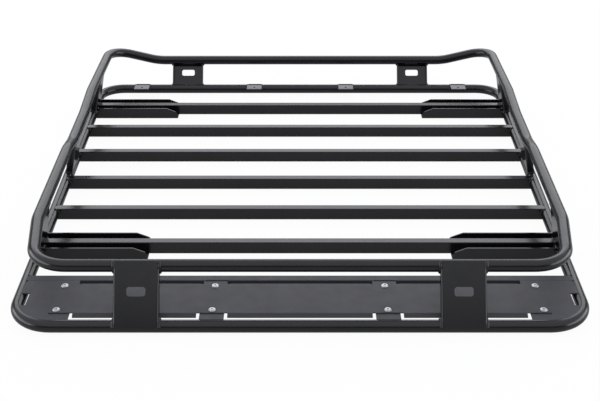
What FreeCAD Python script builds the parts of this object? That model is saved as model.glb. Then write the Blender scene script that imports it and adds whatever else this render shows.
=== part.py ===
import FreeCAD, Part
import math
import os

# Welded steel roof basket: two hoops of round tube, crossbars, sheet brackets and a front deflector.
# Lengths are millimetres. X runs to the right, Y to the rear and Z up. The pieces are drawn from the
# axis of the front lower tube, and are moved to the middle of the basket's footprint at the end.

# Round tube of both hoops
TUBE_OD = 28.0
TUBE_WALL = 2.0

# Lower hoop, measured on the tube's centre line
LOWER_FRONT_WIDTH = 1242.0
LOWER_REAR_WIDTH = 1286.0
LOWER_LENGTH = 1349.0
LOWER_FRONT_BEND = 88.0
LOWER_REAR_BEND = 70.0

# Upper hoop, measured from the lower hoop's centre line
RAIL_INSET = 20.0
RAIL_HEIGHT = 115.0
FRONT_HEIGHT = 110.0
FRONT_LEAN = 68.0
FRONT_INSET = 46.0
SWEEP_START = 262.0
REAR_CORNER_INSET = 27.5
REAR_CORNER_HEIGHT = 116.0
REAR_HEIGHT = 79.0
REAR_LEAN = 54.0
REAR_DROP_RUN = 152.0
FRONT_BEND = 84.0
REAR_BEND = 70.0
GENTLE_BEND = 200.0
WELD_SETBACK = 12.0

# Shallow dip in each side rail, measured forward from the rear lower tube
DIP_FROM_REAR = 299.0
DIP_REAR_RAMP = 145.0
DIP_FLAT = 189.0
DIP_FRONT_RAMP = 75.0
DIP_DEPTH = 11.5

# Crossbars of rectangular tube, level with the tops of the round tubes
BAR_COUNT = 7
BAR_WIDTH = 22.0
BAR_HEIGHT = 31.0
BAR_WALL = 1.5
BAR_CORNER = 2.0
FIRST_BAR = 160.0
LAST_BAR_TO_REAR = 171.5
END_GAP = 4.0

# Folded sheet of the brackets and mounting channels
SHEET = 3.0
FOLD = 2.0

# Brackets between the hoops
BRACKET_WIDTH = 98.0
BRACKET_DEPTH = 18.0
BRACKET_BELOW = 3.0
BRACKET_ABOVE = 8.0
FRONT_BRACKET_SPACING = 698.0
REAR_BRACKET_SPACING = 733.0
SIDE_FACE_INSET = 10.5
SIDE_BRACKET_FROM_FRONT = 313.0
SIDE_BRACKETS_FROM_REAR = (592.0, 168.0)
SLOT_LENGTH = 41.0
SLOT_HEIGHT = 20.0
SLOT_CORNER = 6.0
SLOT_RISE = 9.0

# Mounting channels under the second and the last crossbar
CHANNEL_WIDTH = 76.0
CHANNEL_REACH = 261.0
CHANNEL_NOSE = 33.0
CHANNEL_NOSE_DROP = 13.5
CHANNEL_NOSE_ROUND = 10.0
MOUNT_HOLE = 9.0
MOUNT_HOLE_FROM_SIDE = 125.0

# Deflector plate at the front
PLATE_SHEET = 2.0
PLATE_LAP = 45.0
PLATE_FROM_TUBE = 27.0
PLATE_TO_BAR = 13.0
PLATE_FRONT_LIP = 11.0
PLATE_FRONT_SLOPE = 30.0
PLATE_REAR_LIP = 11.5
NOTCH_CLEARANCE = 7.0
SCREW_HOLE = 7.0
SCREW_FROM_EDGE = 12.0
SCREW_FROM_END = 15.0

# Tabs and corner gussets that carry the plate
TAB_SHEET = 3.0
TAB_WIDTH = 53.0
TAB_SPACING = 380.0
TAB_BELOW_BAR = 0.5
TAB_OVERLAP = 26.0
GUSSET_REACH = 124.0
GUSSET_SLOT_LENGTH = 48.0
GUSSET_SLOT_WIDTH = 8.0
GUSSET_SLOT_FROM_TUBE = 60.0

# Accessory tabs on the rear lower tube
EYE_SHEET = 2.0
EYE_WIDTH = 47.0
EYE_REACH = 42.0
EYE_LIP = 10.0
EYE_STAND = 1.0
EYE_HOLE = 7.0
EYE_HOLE_FROM_TUBE = 25.0
EYE_INNER_SPACING = 296.0
EYE_OUTER_FROM_SIDE = 131.0

# Sizes that follow from the ones above
tube_radius = TUBE_OD / 2
bore_radius = tube_radius - TUBE_WALL
half_front = LOWER_FRONT_WIDTH / 2
half_rear = LOWER_REAR_WIDTH / 2
bar_top = tube_radius
bar_bottom = bar_top - BAR_HEIGHT
bar_pitch = (LOWER_LENGTH - FIRST_BAR - LAST_BAR_TO_REAR) / (BAR_COUNT - 1)
bar_fronts = [FIRST_BAR + bar_pitch * index for index in range(BAR_COUNT)]
channel_bars = (("front", bar_fronts[1]), ("rear", bar_fronts[-1]))
tab_top = bar_top - TAB_BELOW_BAR
tab_bottom = tab_top - TAB_SHEET
plate_top = tab_top + PLATE_SHEET
plate_front = PLATE_FROM_TUBE
plate_rear = FIRST_BAR - PLATE_TO_BAR
gusset_inner = half_front - GUSSET_REACH
plate_half_length = gusset_inner + PLATE_LAP
rear_upper = LOWER_LENGTH + REAR_LEAN
dip_end = LOWER_LENGTH - DIP_FROM_REAR
dip_low_rear = dip_end - DIP_REAR_RAMP
dip_low_front = dip_low_rear - DIP_FLAT
dip_start = dip_low_front - DIP_FRONT_RAMP
eye_places = (("inner", EYE_INNER_SPACING / 2), ("outer", half_rear - EYE_OUTER_FROM_SIDE))
side_centres = (
    ("front", SIDE_BRACKET_FROM_FRONT),
    ("middle", LOWER_LENGTH - SIDE_BRACKETS_FROM_REAR[0]),
    ("rear", LOWER_LENGTH - SIDE_BRACKETS_FROM_REAR[1]),
)
half_widest = max(half_front, half_rear)
spare = TUBE_OD
tolerance = 1e-6

SIDES = (("left", -1), ("right", 1))


def vec(x, y, z):
    return FreeCAD.Vector(x, y, z)


def side_x(y):
    """Distance of a lower side tube's axis from the middle plane."""
    return half_front + (half_rear - half_front) * y / LOWER_LENGTH


def lower_side(sign, y):
    return vec(sign * side_x(y), y, 0)


def rail_side(y, height):
    return vec(side_x(y) - RAIL_INSET, y, height)


# Bent round tube


def tangent_bend(before, corner, after, radius):
    """Start, end, centre, axis and angle of the arc that rounds a corner of a route."""
    into = (corner - before).normalize()
    out = (after - corner).normalize()
    angle = into.getAngle(out)
    setback = radius * math.tan(angle / 2)
    start = corner - into * setback
    axis = into.cross(out).normalize()
    centre = start + axis.cross(into) * radius
    return start, corner + out * setback, centre, axis, math.degrees(angle)


def section(centre, normal, outer, inner):
    rim = Part.Wire(Part.makeCircle(outer, centre, normal))
    if inner == 0:
        return Part.Face(rim)
    bore = Part.Wire(Part.makeCircle(inner, centre, normal))
    return Part.makeFace([rim, bore], "Part::FaceMakerBullseye")


def along_route(points, bends, outer, inner):
    """Round section carried along straight runs that tangent arcs join."""
    pieces = []
    run_start = points[0]
    for index, radius in enumerate(bends, 1):
        before, corner, after = points[index - 1:index + 2]
        start, end, centre, axis, angle = tangent_bend(before, corner, after, radius)
        pieces.append(section(run_start, start - run_start, outer, inner).extrude(start - run_start))
        pieces.append(section(start, corner - before, outer, inner).revolve(centre, axis, angle))
        run_start = end
    last_run = points[-1] - run_start
    pieces.append(section(run_start, last_run, outer, inner).extrude(last_run))
    if len(pieces) == 1:
        return pieces[0]
    return pieces[0].multiFuse(pieces[1:]).Solids[0]


def tube(points, bends=()):
    return along_route(points, bends, tube_radius, bore_radius)


def rod(points, bends=()):
    """Outer form of a tube, to cope what is welded to it."""
    return along_route(points, bends, tube_radius, 0)


def past_bend(before, corner, after, radius):
    """Point on the run after a bend where two lengths of tube are welded end to end."""
    end = tangent_bend(before, corner, after, radius)[1]
    return end + (after - corner).normalize() * WELD_SETBACK


def mirror_x(point):
    return vec(-point.x, point.y, point.z)


def across(points):
    """Route from the right-hand half, given from its end to the middle, across to the left."""
    return points + [mirror_x(point) for point in reversed(points)]


# Routes of the hoops, on the right-hand side

lower_corner_front = lower_side(1, 0)
lower_corner_rear = lower_side(1, LOWER_LENGTH)
lower_weld_front = past_bend(
    mirror_x(lower_corner_front), lower_corner_front, lower_corner_rear, LOWER_FRONT_BEND
)
lower_weld_rear = past_bend(
    mirror_x(lower_corner_rear), lower_corner_rear, lower_corner_front, LOWER_REAR_BEND
)

upper_corner_front = vec(half_front - FRONT_INSET, FRONT_LEAN, FRONT_HEIGHT)
upper_corner_rear = vec(side_x(rear_upper) - REAR_CORNER_INSET, rear_upper, REAR_CORNER_HEIGHT)
upper_drop_rear = vec(upper_corner_rear.x - REAR_DROP_RUN, rear_upper, REAR_HEIGHT)
rail_points = [
    rail_side(SWEEP_START, RAIL_HEIGHT),
    rail_side(dip_start, RAIL_HEIGHT),
    rail_side(dip_low_front, RAIL_HEIGHT - DIP_DEPTH),
    rail_side(dip_low_rear, RAIL_HEIGHT - DIP_DEPTH),
    rail_side(dip_end, RAIL_HEIGHT),
]
upper_weld_front = past_bend(mirror_x(upper_corner_front), upper_corner_front, rail_points[0], FRONT_BEND)
upper_weld_rear = past_bend(upper_drop_rear, upper_corner_rear, rail_points[-1], REAR_BEND)

lower_front_route = across([lower_weld_front, lower_corner_front])
lower_rear_route = across([lower_weld_rear, lower_corner_rear])
lower_side_route = [lower_weld_front, lower_weld_rear]
upper_front_route = across([upper_weld_front, upper_corner_front])
upper_rear_route = across([upper_weld_rear, upper_corner_rear, upper_drop_rear])
rail_route = [upper_weld_front] + rail_points + [upper_weld_rear]

lower_front_bends = (LOWER_FRONT_BEND, LOWER_FRONT_BEND)
lower_rear_bends = (LOWER_REAR_BEND, LOWER_REAR_BEND)
front_bends = (FRONT_BEND, FRONT_BEND)
rear_bends = (REAR_BEND, GENTLE_BEND, GENTLE_BEND, REAR_BEND)
rail_bends = (GENTLE_BEND,) * len(rail_points)


def to_side(points, sign):
    if sign > 0:
        return points
    return [mirror_x(point) for point in points]


# Outer forms that the welded pieces are coped to

lower_front_rod = rod(lower_front_route, lower_front_bends)
lower_rear_rod = rod(lower_rear_route, lower_rear_bends)
upper_front_rod = rod(upper_front_route, front_bends)
upper_rear_rod = rod(upper_rear_route, rear_bends)
lower_side_rods = {sign: rod(to_side(lower_side_route, sign)) for name, sign in SIDES}
rail_rods = {sign: rod(to_side(rail_route, sign), rail_bends) for name, sign in SIDES}


def between_sides(bottom, top):
    """Space between the lower side tubes that reaches up to END_GAP short of their axes."""
    front = -spare
    rear = LOWER_LENGTH + spare
    corners = [
        vec(-side_x(front) + END_GAP, front, bottom),
        vec(side_x(front) - END_GAP, front, bottom),
        vec(side_x(rear) - END_GAP, rear, bottom),
        vec(-side_x(rear) + END_GAP, rear, bottom),
    ]
    return Part.Face(Part.makePolygon(corners + corners[:1])).extrude(vec(0, 0, top - bottom))


def block(low, high):
    return Part.makeBox(high.x - low.x, high.y - low.y, high.z - low.z, low)


def edges_at(shape, axis, test):
    """Straight edges along an axis whose middle passes a test."""
    found = []
    for edge in shape.Edges:
        run = edge.Vertexes[-1].Point - edge.Vertexes[0].Point
        straight = run.Length > 0 and abs(abs(run.normalize().dot(axis)) - 1) < tolerance
        if straight and test(edge.CenterOfMass):
            found.append(edge)
    return found


def rounded_bar(front, inset, corner):
    """Solid bar across the basket, inset from the crossbar's outer faces, with rounded corners."""
    blank = block(
        vec(-half_widest - spare, front + inset, bar_bottom + inset),
        vec(half_widest + spare, front + BAR_WIDTH - inset, bar_top - inset),
    )
    return blank.makeFillet(corner, edges_at(blank, vec(1, 0, 0), lambda middle: True))


def crossbar(front):
    """Rectangular tube from side to side, with its ends coped to the side tubes."""
    outside = rounded_bar(front, 0, BAR_CORNER)
    bore = rounded_bar(front, BAR_WALL, BAR_CORNER - BAR_WALL)
    blank = outside.cut(bore).common(between_sides(bar_bottom, bar_top))
    return blank.cut([lower_side_rods[1], lower_side_rods[-1]]).Solids[0]


# Folded sheet


def folded_channel(width, depth, start, end):
    """Channel along Z with its back on the plane Y = 0 and its two flanges towards -Y."""
    up = vec(0, 0, 1)
    outer = block(vec(-width / 2, -depth, start), vec(width / 2, 0, end))
    inner = block(vec(SHEET - width / 2, -depth - spare, start), vec(width / 2 - SHEET, -SHEET, end))
    outer = outer.makeFillet(FOLD + SHEET, edges_at(outer, up, lambda middle: middle.y > -depth / 2))
    inner = inner.makeFillet(FOLD, edges_at(inner, up, lambda middle: middle.y > -depth))
    return outer.cut(inner)


def rounded_slot(length, height, corner, centre_z):
    """Slot with rounded corners, cut through a sheet whose outer face is on Y = 0."""
    cutter = block(
        vec(-length / 2, -2 * SHEET, centre_z - height / 2),
        vec(length / 2, SHEET, centre_z + height / 2),
    )
    return cutter.makeFillet(corner, edges_at(cutter, vec(0, 1, 0), lambda middle: True))


def bracket(lower, upper, along, rods, face, below=0, above=0, slotted=False):
    """Folded bracket between a lower and an upper tube, given a point on each axis.

    Its face looks to the side that the rise crossed with the tubes' direction points to, and lies
    that far from the axes. It reaches below the lower axis and above the upper one by two lengths.
    """
    rise = upper - lower
    rise = rise - along * rise.dot(along)
    span = rise.Length
    up = rise.normalize()
    outward = up.cross(along)
    blank = folded_channel(BRACKET_WIDTH, BRACKET_DEPTH, -below, span + above)
    if slotted:
        blank = blank.cut(rounded_slot(SLOT_LENGTH, SLOT_HEIGHT, SLOT_CORNER, span / 2 + SLOT_RISE))
    seat = lower + outward * face
    blank.Placement = FreeCAD.Placement(FreeCAD.Matrix(
        along.x, outward.x, up.x, seat.x,
        along.y, outward.y, up.y, seat.y,
        along.z, outward.z, up.z, seat.z,
    ))
    return max(blank.cut(rods).Solids, key=lambda solid: solid.Volume)


outside_tubes = {
    "face": tube_radius + SHEET,
    "below": BRACKET_BELOW,
    "above": BRACKET_ABOVE,
    "slotted": True,
}


def front_bracket(sign):
    x = sign * FRONT_BRACKET_SPACING / 2
    upper = vec(x, FRONT_LEAN, FRONT_HEIGHT)
    return bracket(vec(x, 0, 0), upper, vec(-1, 0, 0), [lower_front_rod, upper_front_rod], **outside_tubes)


def rear_bracket(sign):
    x = sign * REAR_BRACKET_SPACING / 2
    lower = vec(x, LOWER_LENGTH, 0)
    upper = vec(x, rear_upper, REAR_HEIGHT)
    return bracket(lower, upper, vec(1, 0, 0), [lower_rear_rod, upper_rear_rod], **outside_tubes)


def rail_axis(sign, y):
    """Point of a side rail's axis, with its bends taken as corners."""
    stations = rail_points + [upper_corner_rear]
    for before, after in zip(stations, stations[1:]):
        if y <= after.y:
            break
    point = before + (after - before) * ((y - before.y) / (after.y - before.y))
    return vec(sign * point.x, point.y, point.z)


def side_bracket(sign, y, deck):
    """Bracket set between the side tubes with its face inwards, fitted round the deck's ends."""
    along = (lower_side(sign, LOWER_LENGTH) - lower_side(sign, 0)).normalize() * sign
    rods = [lower_side_rods[sign], rail_rods[sign]]
    return bracket(lower_side(sign, y), rail_axis(sign, y), along, rods + deck, SIDE_FACE_INSET)


def mount_channel(sign, bar_front):
    """Upright channel round a crossbar's end, holed through its base for the roof feet."""
    middle = bar_front + BAR_WIDTH / 2
    length = CHANNEL_REACH
    tip = side_x(middle) - length
    depth = SHEET + BAR_HEIGHT
    blank = folded_channel(CHANNEL_WIDTH, depth, 0, length + spare)
    nose = [vec(0, -depth, 0), vec(0, -depth, CHANNEL_NOSE), vec(0, CHANNEL_NOSE_DROP - depth, 0)]
    nose_cutter = Part.Face(Part.makePolygon(nose + nose[:1])).extrude(vec(CHANNEL_WIDTH, 0, 0))
    nose_cutter.translate(vec(-CHANNEL_WIDTH / 2, 0, 0))
    blank = blank.cut(nose_cutter)
    tips = edges_at(blank, vec(1, 0, 0), lambda middle: middle.y < -depth / 2 and middle.z < tolerance)
    blank = blank.makeFillet(CHANNEL_NOSE_ROUND, tips)
    for wall in (-1, 1):
        across_bar = wall * (CHANNEL_WIDTH / 2 - SHEET + BAR_WIDTH / 2) / 2
        seat = vec(across_bar, -spare, length - MOUNT_HOLE_FROM_SIDE)
        blank = blank.cut(Part.makeCylinder(MOUNT_HOLE / 2, 2 * spare, seat, vec(0, 1, 0)))
    blank.Placement = FreeCAD.Placement(FreeCAD.Matrix(
        0, 0, sign, sign * tip,
        -sign, 0, 0, middle,
        0, -1, 0, bar_bottom - SHEET,
    ))
    blank = blank.common(between_sides(bar_bottom - SHEET, bar_top))
    return max(blank.cut(lower_side_rods[sign]).Solids, key=lambda solid: solid.Volume)


# Front deflector and what carries it

tab_centres = (-TAB_SPACING / 2, TAB_SPACING / 2)
first_bar_form = rounded_bar(FIRST_BAR, 0, BAR_CORNER)
screw_rows = (plate_front + SCREW_FROM_EDGE, plate_rear - SCREW_FROM_EDGE)
screw_columns = tab_centres + (SCREW_FROM_END - plate_half_length, plate_half_length - SCREW_FROM_END)


def drill_screws(shape, bottom, top):
    drills = [
        Part.makeCylinder(SCREW_HOLE / 2, top - bottom, vec(x, y, bottom))
        for x in screw_columns for y in screw_rows
    ]
    return shape.cut(drills)


def deflector_plate():
    """Folded sheet with a sloping front lip and an upright rear lip, open round the tabs and gussets."""
    slope = math.radians(PLATE_FRONT_SLOPE)
    lip_front = plate_front - PLATE_FRONT_LIP * math.cos(slope)
    lip_end = plate_top - PLATE_FRONT_LIP * math.sin(slope)
    lip_bottom = plate_top - PLATE_REAR_LIP
    underside = plate_top - PLATE_SHEET
    profile = [
        (lip_front, lip_end),
        (plate_front, plate_top),
        (plate_rear, plate_top),
        (plate_rear, lip_bottom),
        (plate_rear - PLATE_SHEET, lip_bottom),
        (plate_rear - PLATE_SHEET, underside),
        (plate_front + PLATE_SHEET * math.tan(slope / 2), underside),
        (lip_front + PLATE_SHEET * math.sin(slope), lip_end - PLATE_SHEET * math.cos(slope)),
    ]
    outline = [vec(-plate_half_length, y, z) for y, z in profile]
    sheet = Part.Face(Part.makePolygon(outline + outline[:1])).extrude(vec(2 * plate_half_length, 0, 0))
    outer_fold = FOLD + PLATE_SHEET
    lengthwise = vec(1, 0, 0)
    ridges = edges_at(sheet, lengthwise, lambda middle: abs(middle.z - plate_top) < tolerance)
    sheet = sheet.makeFillet(outer_fold, ridges)
    grooves = edges_at(sheet, lengthwise, lambda middle: abs(middle.z - underside) < tolerance)
    sheet = sheet.makeFillet(FOLD, grooves)
    notch_half = TAB_WIDTH / 2 + NOTCH_CLEARANCE
    lip_half = gusset_inner - NOTCH_CLEARANCE
    gaps = [(centre - notch_half, centre + notch_half) for centre in tab_centres]
    gaps += [(-plate_half_length, -lip_half), (lip_half, plate_half_length)]
    front_edge = plate_front + outer_fold * math.tan(slope / 2)
    rear_edge = plate_rear - outer_fold
    notches = []
    for low, high in gaps:
        notches.append(block(vec(low, lip_front, lip_bottom), vec(high, front_edge, plate_top)))
        notches.append(block(vec(low, rear_edge, lip_bottom), vec(high, plate_rear, plate_top)))
    return drill_screws(sheet.cut(notches), lip_bottom, plate_top).Solids[0]


def front_tab(centre):
    """Strip welded to the front tube and screwed under the plate."""
    blank = block(
        vec(centre - TAB_WIDTH / 2, 0, tab_bottom),
        vec(centre + TAB_WIDTH / 2, plate_front + TAB_OVERLAP, tab_top),
    )
    return drill_screws(blank.cut(lower_front_rod), tab_bottom, tab_top).Solids[0]


def bar_tab(centre):
    """Strip welded to the first crossbar and screwed under the plate."""
    blank = block(
        vec(centre - TAB_WIDTH / 2, plate_rear - TAB_OVERLAP, tab_bottom),
        vec(centre + TAB_WIDTH / 2, FIRST_BAR + BAR_CORNER, tab_top),
    )
    return drill_screws(blank.cut(first_bar_form), tab_bottom, tab_top).Solids[0]


def corner_gusset(sign):
    """Sheet that fills a front corner from the hoop to the first crossbar, with a slot at the side."""
    blank = block(vec(gusset_inner, 0, tab_bottom), vec(half_widest, FIRST_BAR + BAR_CORNER, tab_top))
    slot_rear = GUSSET_SLOT_FROM_TUBE + GUSSET_SLOT_LENGTH
    slot_inner = side_x(GUSSET_SLOT_FROM_TUBE) - tube_radius - GUSSET_SLOT_WIDTH
    slot = block(vec(slot_inner, GUSSET_SLOT_FROM_TUBE, tab_bottom), vec(half_widest, slot_rear, tab_top))
    blank = blank.cut(slot)
    if sign < 0:
        blank = blank.mirror(vec(0, 0, 0), vec(1, 0, 0))
    blank = blank.common(between_sides(tab_bottom, tab_top))
    blank = blank.cut([lower_front_rod, lower_side_rods[sign], first_bar_form])
    blank = max(blank.Solids, key=lambda solid: solid.Volume)
    return drill_screws(blank, tab_bottom, tab_top).Solids[0]


def accessory_tab(centre):
    """Small angle welded over the rear tube's crown, with a hole in front of the tube."""
    top = tube_radius + EYE_STAND
    front = LOWER_LENGTH - EYE_REACH
    hole_y = LOWER_LENGTH - EYE_HOLE_FROM_TUBE
    outer = block(
        vec(centre - EYE_WIDTH / 2, front, top - EYE_LIP),
        vec(centre + EYE_WIDTH / 2, LOWER_LENGTH, top),
    )
    inner = block(
        vec(centre - EYE_WIDTH / 2, front + EYE_SHEET, top - EYE_LIP),
        vec(centre + EYE_WIDTH / 2, LOWER_LENGTH, top - EYE_SHEET),
    )
    ridge = edges_at(outer, vec(1, 0, 0), lambda middle: middle.y < hole_y and middle.z > top - EYE_SHEET)
    groove = edges_at(inner, vec(1, 0, 0), lambda middle: middle.y < hole_y and middle.z > top - EYE_LIP)
    angle = outer.makeFillet(FOLD + EYE_SHEET, ridge).cut(inner.makeFillet(FOLD, groove))
    drill = Part.makeCylinder(EYE_HOLE / 2, EYE_LIP, vec(centre, hole_y, top - EYE_LIP))
    return max(angle.cut([drill, lower_rear_rod]).Solids, key=lambda solid: solid.Volume)


def build():
    """Every piece of the basket by name."""
    parts = {
        "lower_front_tube": tube(lower_front_route, lower_front_bends),
        "lower_rear_tube": tube(lower_rear_route, lower_rear_bends),
        "upper_front_tube": tube(upper_front_route, front_bends),
        "upper_rear_tube": tube(upper_rear_route, rear_bends),
        "deflector_plate": deflector_plate(),
    }
    for index, front in enumerate(bar_fronts, 1):
        parts[f"crossbar_{index}"] = crossbar(front)
    crossbars = [parts[f"crossbar_{index}"] for index in range(1, BAR_COUNT + 1)]
    for side, sign in SIDES:
        parts[f"lower_{side}_tube"] = tube(to_side(lower_side_route, sign))
        parts[f"upper_{side}_rail"] = tube(to_side(rail_route, sign), rail_bends)
        parts[f"front_bracket_{side}"] = front_bracket(sign)
        parts[f"rear_bracket_{side}"] = rear_bracket(sign)
        channels = []
        for place, bar_front in channel_bars:
            parts[f"mount_channel_{place}_{side}"] = mount_channel(sign, bar_front)
            channels.append(parts[f"mount_channel_{place}_{side}"])
        for place, y in side_centres:
            parts[f"side_bracket_{side}_{place}"] = side_bracket(sign, y, crossbars + channels)
        parts[f"corner_gusset_{side}"] = corner_gusset(sign)
        parts[f"plate_tab_front_{side}"] = front_tab(sign * TAB_SPACING / 2)
        parts[f"plate_tab_rear_{side}"] = bar_tab(sign * TAB_SPACING / 2)
        for place, distance in eye_places:
            parts[f"accessory_tab_{place}_{side}"] = accessory_tab(sign * distance)
    return parts


def stand_on_origin(parts):
    """Move every piece so that the origin is at the middle of the footprint, at the lowest level."""
    box = Part.makeCompound(list(parts.values())).optimalBoundingBox(False, False)
    shift = vec(-box.Center.x, -box.Center.y, -box.ZMin)
    for shape in parts.values():
        shape.translate(shift)
    return shift, box


os.makedirs("parts", exist_ok=True)
pieces = build()
shift, box = stand_on_origin(pieces)
for name, shape in pieces.items():
    shape.exportStep(f"parts/{name}.step")
print(f"{len(pieces)} pieces, {box.XLength:.2f} x {box.YLength:.2f} x {box.ZLength:.2f} mm")
print(f"front lower axis at y {shift.y:.3f}, z {shift.z:.3f}")
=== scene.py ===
import math

import bpy
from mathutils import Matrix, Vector


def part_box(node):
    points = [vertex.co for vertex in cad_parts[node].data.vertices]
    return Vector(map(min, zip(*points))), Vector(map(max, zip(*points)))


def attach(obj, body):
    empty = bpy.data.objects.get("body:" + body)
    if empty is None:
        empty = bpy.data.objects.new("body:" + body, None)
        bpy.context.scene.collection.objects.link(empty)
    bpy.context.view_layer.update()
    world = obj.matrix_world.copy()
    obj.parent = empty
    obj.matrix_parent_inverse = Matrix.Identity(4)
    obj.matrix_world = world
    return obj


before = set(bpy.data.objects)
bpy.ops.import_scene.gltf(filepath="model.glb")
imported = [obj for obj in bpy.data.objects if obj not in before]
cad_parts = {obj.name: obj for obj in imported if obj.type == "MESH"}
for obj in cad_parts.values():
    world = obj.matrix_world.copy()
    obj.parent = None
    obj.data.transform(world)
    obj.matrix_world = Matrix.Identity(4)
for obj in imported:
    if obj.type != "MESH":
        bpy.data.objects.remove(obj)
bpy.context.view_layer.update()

SIDES = (("left", -1), ("right", 1))
AHEAD = Vector((0, -1, 0))
UP = Vector((0, 0, 1))

# Sizes of the basket's stock, in metres
TUBE_RADIUS = 0.014
BRACKET_SHEET = 0.003
BRACKET_FACE_BELOW_AXIS = 0.003
BRACKET_FACE_ABOVE_AXIS = 0.008
SIDE_FACE_INSET = 0.0105

# Black powder coat: dark and pale tone, smooth and rough gloss, strength of the orange peel
BLACK_TONES = (0.0055, 0.0090)
SHEET_TONES = (0.033, 0.037)
TUBE_GLOSS = (0.20, 0.26)
BRACKET_GLOSS = (0.14, 0.19)
SHEET_GLOSS = (0.56, 0.64)
FINE_PEEL = 0.05
SHEET_PEEL = 0.25
PEEL_DEPTH = 0.0004
COAT_BLUE = 1.2
COAT_IOR = 1.5

# Scale and detail of the noise in the finishes
CLOUD_NOISE = (9, 3)
PATCH_NOISE = (38, 4)
PEEL_NOISE = (520, 2)
SPANGLE_NOISE = (420, 3)

# Zinc plate: its two tones and two levels of gloss
ZINC_DARK = (0.46, 0.47, 0.48)
ZINC_PALE = (0.60, 0.60, 0.59)
ZINC_GLOSS = (0.38, 0.50)

# Zinc screws of the deflector plate
SCREW_FROM_EDGE = 0.012
PLATE_LIP_REACH = 0.0095
SCREW_FROM_END = 0.015
TAB_SPACING = 0.380
SCREW_SIDES = 40
SCREW_HEAD_RADIUS = 0.0082
SCREW_HEAD_HEIGHT = 0.0030
SCREW_SHANK_RADIUS = 0.0030
SCREW_SHANK_LENGTH = 0.0080
SCREW_SOCKET_SIDES = 6
SCREW_SOCKET_RADIUS = 0.0026
SCREW_SOCKET_DEPTH = 0.0016
SCREW_SMOOTH_ANGLE = math.radians(40)
# Turn of each screw, in radians: by its column, and more in the front row
COLUMN_TURN = 0.7
FRONT_ROW_TURN = 0.4
# Button head: each step's rise as a share of the head's height, and the growth of its ring
HEAD_PROFILE = ((0.28, 1.0), (0.30, 0.93), (0.22, 0.86), (0.14, 0.80), (0.06, 0.74))

# Weld beads
FINE_BEAD = 0.0023
HEAVY_BEAD = 0.0040
BEAD_LIFT = 0.0004
BEAD_SIDES = 12
BEAD_MERGE = 0.0002
# Ripple, as shares of the bead's radius; its steps are shares of its length with their swell
RIPPLE_LENGTH = 1.1
RIPPLE_WAIST = 0.90
RIPPLE_PROFILE = ((0.25, 1.08), (0.30, 1.03), (0.25, 0.97), (0.20, 1 / (1.08 * 1.03 * 0.97)))
# Reach of the beads round the tubes, in degrees
WRAP_STEP = 9
LEAST_WRAP_STEPS = 4
DECK_WRAP = (78, -72)
FOOT_WRAP = (88, -8)
HEAD_WRAP = (-88, 28)
SIDE_WRAP_END = 118
ACCESSORY_WRAP = (92, 12)

# Floor: its paint, its paint as the camera sees it, and the shares of white glow
FLOOR_SIZE = 40
FLOOR_PAINT = (0.34, 0.34, 0.35, 1)
FLOOR_SEEN_PAINT = (0.90, 0.90, 0.90, 1)
FLOOR_SEEN_GLOW = 0.95
FLOOR_REFLECTED_GLOW = 0.30

# Dome: its light near the horizon and overhead, and the heights (0 to 1) between which it changes
DOME_LOW = (0.17, 0.17, 0.18)
DOME_HIGH = (0.88, 0.89, 0.95)
DOME_FADE = (0.475, 0.500)

# Softboxes: places and sizes in metres, power in watts
LAMP_COLOUR = (0.95, 0.96, 1.0)
LAMP_AIM_HEIGHT = 0.1
REAR_LAMP_PLACE = (0, 4.4, 2.3)
REAR_LAMP_SIZE = (8.0, 2.8)
REAR_LAMP_POWER = 130
SIDE_LAMP_OUT = 3.6
SIDE_LAMP_Y = -0.8
SIDE_LAMP_HEIGHT = 0.8
SIDE_LAMP_SIZE = (4.6, 1.4)
SIDE_LAMP_POWER = 65

# Camera of the studio shot, measured from the front lower tube's axis
CAMERA_BACK = 1.862
CAMERA_UP = 1.294
CAMERA_PITCH = math.radians(28)
LENS_MM = 63.24
SENSOR_MM = 36

# Places read from the frame
front_tube_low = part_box("lower_front_tube")[0]
front_axis = Vector((0, front_tube_low.y + TUBE_RADIUS, front_tube_low.z + TUBE_RADIUS))
rear_tube_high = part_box("lower_rear_tube")[1]
rear_axis = Vector((0, rear_tube_high.y - TUBE_RADIUS, front_axis.z))
upper_front_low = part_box("upper_front_tube")[0]
upper_front_axis = Vector((0, upper_front_low.y + TUBE_RADIUS, upper_front_low.z + TUBE_RADIUS))
upper_rear_low, upper_rear_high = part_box("upper_rear_tube")
upper_rear_axis = Vector((0, upper_rear_high.y - TUBE_RADIUS, upper_rear_low.z + TUBE_RADIUS))
side_tube_low, side_tube_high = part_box("lower_right_tube")
side_spread = side_tube_high.x - side_tube_low.x - 2 * TUBE_RADIUS
side_taper = side_spread / (side_tube_high.y - side_tube_low.y)
plate_low, plate_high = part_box("deflector_plate")


# Modelling helpers


def deselect():
    if bpy.context.mode != "OBJECT":
        bpy.ops.object.mode_set(mode="OBJECT")
    bpy.ops.object.select_all(action="DESELECT")


def pick(obj):
    deselect()
    obj.select_set(True)
    bpy.context.view_layer.objects.active = obj


def settle(obj):
    """Put the object's place into its mesh."""
    pick(obj)
    bpy.ops.object.transform_apply(location=True, rotation=True, scale=True)


def own_copy(obj):
    """Copy of an object with a mesh of its own."""
    twin = obj.copy()
    twin.data = obj.data.copy()
    bpy.context.scene.collection.objects.link(twin)
    return twin


def copy_to(obj, name, place, turn):
    twin = own_copy(obj)
    twin.name = name
    twin.location = place
    twin.rotation_euler = (0, 0, turn)
    settle(twin)
    return twin


def extrude_step(shift, growth):
    """Extrude the selected region, then scale its new end."""
    bpy.ops.mesh.extrude_region_move(TRANSFORM_OT_translate={"value": shift})
    bpy.ops.transform.resize(value=growth)


def turn_faces_out():
    bpy.ops.mesh.select_all(action="SELECT")
    bpy.ops.mesh.normals_make_consistent(inside=False)
    bpy.ops.object.mode_set(mode="OBJECT")


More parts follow.
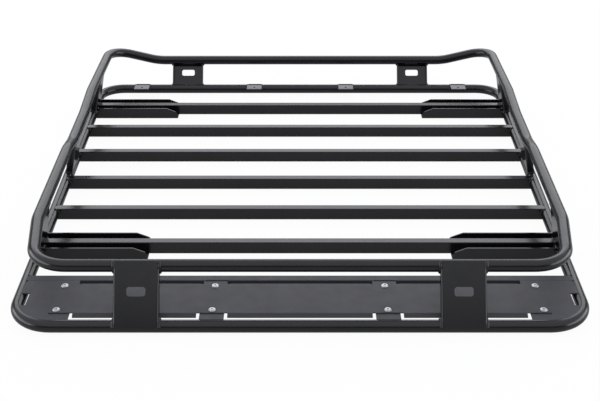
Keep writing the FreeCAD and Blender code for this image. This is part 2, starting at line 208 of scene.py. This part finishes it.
def coat(obj, material):
    obj.data.materials.clear()
    obj.data.materials.append(material)


# Finishes


def node_material(name):
    material = bpy.data.materials.new(name)
    material.use_nodes = True
    return material, material.node_tree


def grey(level):
    return (level, level, level)


def add_noise(tree, coords, scale, detail):
    noise = tree.nodes.new("ShaderNodeTexNoise")
    noise.inputs["Scale"].default_value = scale
    noise.inputs["Detail"].default_value = detail
    tree.links.new(coords.outputs["Object"], noise.inputs["Vector"])
    return noise.outputs["Fac"]


def ramp_between(tree, factor, low, high, start=0.3, end=0.7):
    ramp = tree.nodes.new("ShaderNodeValToRGB")
    ramp.color_ramp.elements[0].position = start
    ramp.color_ramp.elements[1].position = end
    ramp.color_ramp.elements[0].color = (*low, 1)
    ramp.color_ramp.elements[1].color = (*high, 1)
    tree.links.new(factor, ramp.inputs["Fac"])
    return ramp.outputs["Color"]


def powder_coat(name, tones, glosses, peel_strength):
    """Black powder coat: two tones in soft clouds, two levels of gloss and a fine orange peel."""
    material, tree = node_material(name)
    shader = tree.nodes["Principled BSDF"]
    coords = tree.nodes.new("ShaderNodeTexCoord")
    cloud = add_noise(tree, coords, *CLOUD_NOISE)
    dark, pale = [(tone, tone, COAT_BLUE * tone) for tone in tones]
    tree.links.new(ramp_between(tree, cloud, dark, pale), shader.inputs["Base Color"])
    patch = add_noise(tree, coords, *PATCH_NOISE)
    smooth, rough = [grey(gloss) for gloss in glosses]
    tree.links.new(ramp_between(tree, patch, smooth, rough), shader.inputs["Roughness"])
    peel = add_noise(tree, coords, *PEEL_NOISE)
    bump = tree.nodes.new("ShaderNodeBump")
    bump.inputs["Strength"].default_value = peel_strength
    bump.inputs["Distance"].default_value = PEEL_DEPTH
    tree.links.new(peel, bump.inputs["Height"])
    tree.links.new(bump.outputs["Normal"], shader.inputs["Normal"])
    shader.inputs["IOR"].default_value = COAT_IOR
    return material


def zinc():
    """Bright zinc plate with faint spangle."""
    material, tree = node_material("zinc_plate")
    shader = tree.nodes["Principled BSDF"]
    coords = tree.nodes.new("ShaderNodeTexCoord")
    spangle = add_noise(tree, coords, *SPANGLE_NOISE)
    tone = ramp_between(tree, spangle, ZINC_DARK, ZINC_PALE)
    tree.links.new(tone, shader.inputs["Base Color"])
    smooth, rough = [grey(gloss) for gloss in ZINC_GLOSS]
    tree.links.new(ramp_between(tree, spangle, smooth, rough), shader.inputs["Roughness"])
    shader.inputs["Metallic"].default_value = 1
    return material


tube_coat = powder_coat("satin_black_coat", BLACK_TONES, TUBE_GLOSS, FINE_PEEL)
bracket_coat = powder_coat("gloss_black_coat", BLACK_TONES, BRACKET_GLOSS, FINE_PEEL)
sheet_coat = powder_coat("grained_black_coat", SHEET_TONES, SHEET_GLOSS, SHEET_PEEL)
plating = zinc()
brackets = ("front_bracket", "rear_bracket", "side_bracket", "mount_channel", "accessory_tab")
front_sheets = ("deflector_plate", "corner_gusset", "plate_tab", "crossbar_1")


def finish_of(name):
    if name.startswith(brackets):
        return bracket_coat
    if name.startswith(front_sheets):
        return sheet_coat
    return tube_coat


for name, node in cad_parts.items():
    coat(node, finish_of(name))


# Screws


def screw_master():
    """Short screw with a low button head and a hexagon socket; its head sits on the origin."""
    deselect()
    bpy.ops.mesh.primitive_circle_add(
        vertices=SCREW_SIDES,
        radius=SCREW_SHANK_RADIUS,
        fill_type="NGON",
        location=(0, 0, -SCREW_SHANK_LENGTH),
    )
    head = bpy.context.object
    settle(head)
    bpy.ops.object.mode_set(mode="EDIT")
    bpy.ops.mesh.select_all(action="SELECT")
    flange = SCREW_HEAD_RADIUS / SCREW_SHANK_RADIUS
    extrude_step((0, 0, SCREW_SHANK_LENGTH), (1, 1, 1))
    extrude_step((0, 0, 0), (flange, flange, 1))
    for rise, growth in HEAD_PROFILE:
        extrude_step((0, 0, rise * SCREW_HEAD_HEIGHT), (growth, growth, 1))
    turn_faces_out()
    bpy.ops.object.shade_smooth_by_angle(angle=SCREW_SMOOTH_ANGLE)
    deselect()
    bpy.ops.mesh.primitive_cylinder_add(
        vertices=SCREW_SOCKET_SIDES,
        radius=SCREW_SOCKET_RADIUS,
        depth=2 * SCREW_SOCKET_DEPTH,
        location=(0, 0, SCREW_HEAD_HEIGHT),
    )
    key = bpy.context.object
    pick(head)
    cut = head.modifiers.new("socket", "BOOLEAN")
    cut.operation = "DIFFERENCE"
    cut.object = key
    bpy.ops.object.modifier_apply(modifier=cut.name)
    bpy.data.objects.remove(key)
    return head


def place_screws():
    master = screw_master()
    half_length = plate_high.x - SCREW_FROM_END
    columns = (-half_length, -TAB_SPACING / 2, TAB_SPACING / 2, half_length)
    rows = (
        ("front", plate_low.y + PLATE_LIP_REACH + SCREW_FROM_EDGE, FRONT_ROW_TURN),
        ("rear", plate_high.y - SCREW_FROM_EDGE, 0),
    )
    for column, x in enumerate(columns, 1):
        for row, y, row_turn in rows:
            turn = COLUMN_TURN * column + row_turn
            screw = copy_to(master, f"plate_screw_{row}_{column}", (x, y, plate_high.z), turn)
            coat(screw, plating)
            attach(screw, "root")
    bpy.data.objects.remove(master)


place_screws()


# Weld beads


def bead_unit(radius):
    """One ripple of a weld bead, along X from the origin."""
    length = RIPPLE_LENGTH * radius
    deselect()
    bpy.ops.mesh.primitive_circle_add(
        vertices=BEAD_SIDES, radius=RIPPLE_WAIST * radius, rotation=(0, math.pi / 2, 0)
    )
    unit = bpy.context.object
    settle(unit)
    bpy.ops.object.mode_set(mode="EDIT")
    bpy.ops.mesh.select_all(action="SELECT")
    for step, swell in RIPPLE_PROFILE:
        extrude_step((step * length, 0, 0), (1, swell, swell))
    turn_faces_out()
    return unit


def guide_curve(route):
    line = bpy.data.curves.new("bead_route", "CURVE")
    line.dimensions = "3D"
    spline = line.splines.new("POLY")
    spline.points.add(len(route) - 1)
    for point, place in zip(spline.points, route):
        point.co = (*place, 1)
    guide = bpy.data.objects.new("bead_route", line)
    bpy.context.scene.collection.objects.link(guide)
    return guide


def lay_bead(unit, route):
    """Ripples laid along a route of points, with both ends closed."""
    guide = guide_curve(route)
    bead = own_copy(unit)
    pick(bead)
    ripples = bead.modifiers.new("ripples", "ARRAY")
    ripples.fit_type = "FIT_CURVE"
    ripples.curve = guide
    ripples.use_merge_vertices = True
    ripples.merge_threshold = BEAD_MERGE
    follow = bead.modifiers.new("follow", "CURVE")
    follow.object = guide
    bpy.ops.object.modifier_apply(modifier=ripples.name)
    bpy.ops.object.modifier_apply(modifier=follow.name)
    bpy.data.objects.remove(guide)
    bpy.ops.object.mode_set(mode="EDIT")
    bpy.ops.mesh.select_all(action="DESELECT")
    bpy.ops.mesh.select_mode(type="EDGE")
    bpy.ops.mesh.select_non_manifold(extend=False)
    bpy.ops.mesh.fill_holes(sides=BEAD_SIDES + 2)
    turn_faces_out()
    bpy.ops.object.shade_smooth()
    return bead


def weld(name, *runs):
    """All beads of one welded piece, joined; each run is a ripple and its routes."""
    beads = [lay_bead(unit, route) for unit, routes in runs for route in routes]
    deselect()
    for bead in beads:
        bead.select_set(True)
    bpy.context.view_layer.objects.active = beads[0]
    if len(beads) > 1:
        bpy.ops.object.join()
    seam = bpy.context.view_layer.objects.active
    seam.name = name
    coat(seam, bracket_coat)
    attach(seam, "root")


def round_tube(centre, ahead, up, first, last):
    """Route round a tube, in degrees from the direction ahead towards the direction up."""
    reach = TUBE_RADIUS + BEAD_LIFT
    steps = max(LEAST_WRAP_STEPS, round(abs(last - first) / WRAP_STEP))
    turns = [math.radians(first + (last - first) * step / steps) for step in range(steps + 1)]
    return [centre + (ahead * math.cos(turn) + up * math.sin(turn)) * reach for turn in turns]


def side_axis(y, sign):
    """Point on the axis of a lower side tube."""
    from_middle = side_tube_low.x + TUBE_RADIUS + side_taper * (y - side_tube_low.y)
    return Vector((sign * from_middle, y, front_axis.z))


def deck_end_routes(node, sign):
    """Beads down the front and rear of a crossbar's or a channel's end, round the side tube."""
    low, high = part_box(node)
    inward = Vector((-sign, 0, 0))
    edges = (low.y - BEAD_LIFT, high.y + BEAD_LIFT)
    return [round_tube(side_axis(y, sign), inward, UP, *DECK_WRAP) for y in edges]


def end_bracket_routes(node, lower, upper):
    """Beads of a front or rear bracket: its folded edges round both tubes, then foot and head."""
    low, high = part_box(node)
    up = (upper - lower).normalized()
    facing = 1 if lower.y > 0 else -1
    out = Vector((0, facing * up.z, -facing * up.y))
    routes = []
    for x in (low.x - BEAD_LIFT, high.x + BEAD_LIFT):
        side = Vector((x, 0, 0))
        routes.append(round_tube(side + lower, out, up, *FOOT_WRAP))
        routes.append(round_tube(side + upper, out, up, *HEAD_WRAP))
    foot_drop = BRACKET_FACE_BELOW_AXIS + BEAD_LIFT
    head_rise = BRACKET_FACE_ABOVE_AXIS + BEAD_LIFT
    foot = lower + out * (TUBE_RADIUS + BEAD_LIFT) - up * foot_drop
    head = upper + out * (TUBE_RADIUS - 2 * BEAD_LIFT) + up * head_rise
    ends = (low.x + BRACKET_SHEET, high.x - BRACKET_SHEET)
    return routes, [[Vector((x, edge.y, edge.z)) for x in ends] for edge in (foot, head)]


def side_bracket_routes(node, sign):
    """Beads of a side bracket: along its face at both tubes, and at its folds round the lower."""
    low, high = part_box(node)
    inner_top = low.x if sign > 0 else -high.x
    foot_x = abs(side_axis(low.y, sign).x) - SIDE_FACE_INSET
    slope = math.atan((foot_x - inner_top) / (high.z - front_axis.z))
    inward = Vector((-sign * math.cos(slope), 0, -math.sin(slope)))
    up = Vector((-sign * math.sin(slope), 0, math.cos(slope)))
    seat = math.degrees(math.acos(SIDE_FACE_INSET / TUBE_RADIUS))
    edges = (low.y - BEAD_LIFT, high.y + BEAD_LIFT)
    folds = [round_tube(side_axis(y, sign), inward, up, seat, SIDE_WRAP_END) for y in edges]
    foot = [fold[0] for fold in folds]
    head = []
    for y in (low.y + BRACKET_SHEET, high.y - BRACKET_SHEET):
        x = inner_top - BEAD_LIFT + side_taper * (y - low.y)
        head.append(Vector((sign * x, y, high.z - BEAD_LIFT)))
    return [*folds, foot, head]


def straight_route(node, rear):
    """Bead along the front or rear upper edge of a tab."""
    low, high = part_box(node)
    y = high.y if rear else low.y
    z = high.z - BEAD_LIFT
    return [Vector((low.x + FINE_BEAD, y, z)), Vector((high.x - FINE_BEAD, y, z))]


def accessory_routes(node):
    """Beads of an accessory tab: along its rear edge and down both sides of the rear tube."""
    low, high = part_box(node)
    routes = [straight_route(node, True)]
    for x in (low.x - BEAD_LIFT, high.x + BEAD_LIFT):
        routes.append(round_tube(Vector((x, 0, 0)) + rear_axis, AHEAD, UP, *ACCESSORY_WRAP))
    return routes


def place_welds():
    fine = bead_unit(FINE_BEAD)
    heavy = bead_unit(HEAVY_BEAD)
    bars = sorted(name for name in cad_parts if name.startswith("crossbar_"))
    for name in bars:
        weld(f"weld_{name}", (fine, deck_end_routes(name, -1) + deck_end_routes(name, 1)))
    for side, sign in SIDES:
        for place in ("front", "rear"):
            name = f"mount_channel_{place}_{side}"
            weld(f"weld_{name}", (fine, deck_end_routes(name, sign)))
            name = f"plate_tab_{place}_{side}"
            weld(f"weld_{name}", (fine, [straight_route(name, place == "rear")]))
        for place in ("inner", "outer"):
            name = f"accessory_tab_{place}_{side}"
            weld(f"weld_{name}", (fine, accessory_routes(name)))
        for place in ("front", "middle", "rear"):
            name = f"side_bracket_{side}_{place}"
            weld(f"weld_{name}", (fine, side_bracket_routes(name, sign)))
        for place, lower, upper in (
            ("front", front_axis, upper_front_axis),
            ("rear", rear_axis, upper_rear_axis),
        ):
            name = f"{place}_bracket_{side}"
            edges, ends = end_bracket_routes(name, lower, upper)
            weld(f"weld_{name}", (heavy, edges), (fine, ends))
    bpy.data.objects.remove(fine)
    bpy.data.objects.remove(heavy)


place_welds()


# Studio


def floor_material():
    """Pale floor: white to the camera, fainter in reflections; it keeps the basket's shadow."""
    material, tree = node_material("studio_floor")
    tree.nodes.remove(tree.nodes["Principled BSDF"])
    path = tree.nodes.new("ShaderNodeLightPath")
    shade = tree.nodes.new("ShaderNodeMixRGB")
    shade.inputs["Color1"].default_value = FLOOR_PAINT
    shade.inputs["Color2"].default_value = FLOOR_SEEN_PAINT
    tree.links.new(path.outputs["Is Camera Ray"], shade.inputs["Fac"])
    paint = tree.nodes.new("ShaderNodeBsdfDiffuse")
    tree.links.new(shade.outputs["Color"], paint.inputs["Color"])
    glow = tree.nodes.new("ShaderNodeEmission")
    seen = tree.nodes.new("ShaderNodeMath")
    seen.operation = "MULTIPLY"
    seen.inputs[1].default_value = FLOOR_SEEN_GLOW
    tree.links.new(path.outputs["Is Camera Ray"], seen.inputs[0])
    share = tree.nodes.new("ShaderNodeMath")
    share.operation = "MULTIPLY_ADD"
    share.inputs[1].default_value = FLOOR_REFLECTED_GLOW
    tree.links.new(path.outputs["Is Glossy Ray"], share.inputs[0])
    tree.links.new(seen.outputs["Value"], share.inputs[2])
    mix = tree.nodes.new("ShaderNodeMixShader")
    tree.links.new(share.outputs["Value"], mix.inputs["Fac"])
    tree.links.new(paint.outputs["BSDF"], mix.inputs[1])
    tree.links.new(glow.outputs["Emission"], mix.inputs[2])
    tree.links.new(mix.outputs["Shader"], tree.nodes["Material Output"].inputs["Surface"])
    return material


def studio():
    deselect()
    bpy.ops.mesh.primitive_plane_add(size=FLOOR_SIZE, location=(0, 0, 0))
    floor = bpy.context.object
    floor.name = "studio_floor"
    floor.data.materials.append(floor_material())


def dome():
    """Soft dome: bright overhead, dim towards the horizon, and white where the camera sees it."""
    world = bpy.data.worlds.new("studio")
    bpy.context.scene.world = world
    world.use_nodes = True
    tree = world.node_tree
    sky = tree.nodes["Background"]
    coords = tree.nodes.new("ShaderNodeTexCoord")
    direction = tree.nodes.new("ShaderNodeSeparateXYZ")
    tree.links.new(coords.outputs["Generated"], direction.inputs["Vector"])
    fade = ramp_between(tree, direction.outputs["Z"], DOME_LOW, DOME_HIGH, *DOME_FADE)
    tree.links.new(fade, sky.inputs["Color"])
    white = tree.nodes.new("ShaderNodeBackground")
    white.inputs["Color"].default_value = (1, 1, 1, 1)
    path = tree.nodes.new("ShaderNodeLightPath")
    mix = tree.nodes.new("ShaderNodeMixShader")
    tree.links.new(path.outputs["Is Camera Ray"], mix.inputs["Fac"])
    tree.links.new(sky.outputs["Background"], mix.inputs[1])
    tree.links.new(white.outputs["Background"], mix.inputs[2])
    tree.links.new(mix.outputs["Shader"], tree.nodes["World Output"].inputs["Surface"])


def softbox(name, place, aim_y, size, power):
    """Wide lamp that faces a point low over the middle plane and that the camera doesn't see."""
    lamp = bpy.data.lights.new(name, "AREA")
    lamp.shape = "RECTANGLE"
    lamp.size, lamp.size_y = size
    lamp.energy = power
    lamp.color = LAMP_COLOUR
    holder = bpy.data.objects.new(name, lamp)
    bpy.context.scene.collection.objects.link(holder)
    holder.visible_camera = False
    holder.location = place
    ray = Vector((0, aim_y, LAMP_AIM_HEIGHT)) - Vector(place)
    holder.rotation_euler = ray.to_track_quat("-Z", "Y").to_euler()


def camera():
    data = bpy.data.cameras.new("camera")
    data.lens = LENS_MM
    data.sensor_width = SENSOR_MM
    data.sensor_fit = "HORIZONTAL"
    holder = bpy.data.objects.new("camera", data)
    bpy.context.scene.collection.objects.link(holder)
    holder.location = front_axis + Vector((0, -CAMERA_BACK, CAMERA_UP))
    holder.rotation_euler = (math.pi / 2 - CAMERA_PITCH, 0, 0)
    bpy.context.scene.camera = holder


studio()
dome()
softbox("rear", REAR_LAMP_PLACE, 0, REAR_LAMP_SIZE, REAR_LAMP_POWER)
for side, sign in SIDES:
    side_place = (sign * SIDE_LAMP_OUT, SIDE_LAMP_Y, SIDE_LAMP_HEIGHT)
    softbox(side, side_place, SIDE_LAMP_Y, SIDE_LAMP_SIZE, SIDE_LAMP_POWER)
camera()
bpy.context.scene.view_settings.view_transform = "Standard"
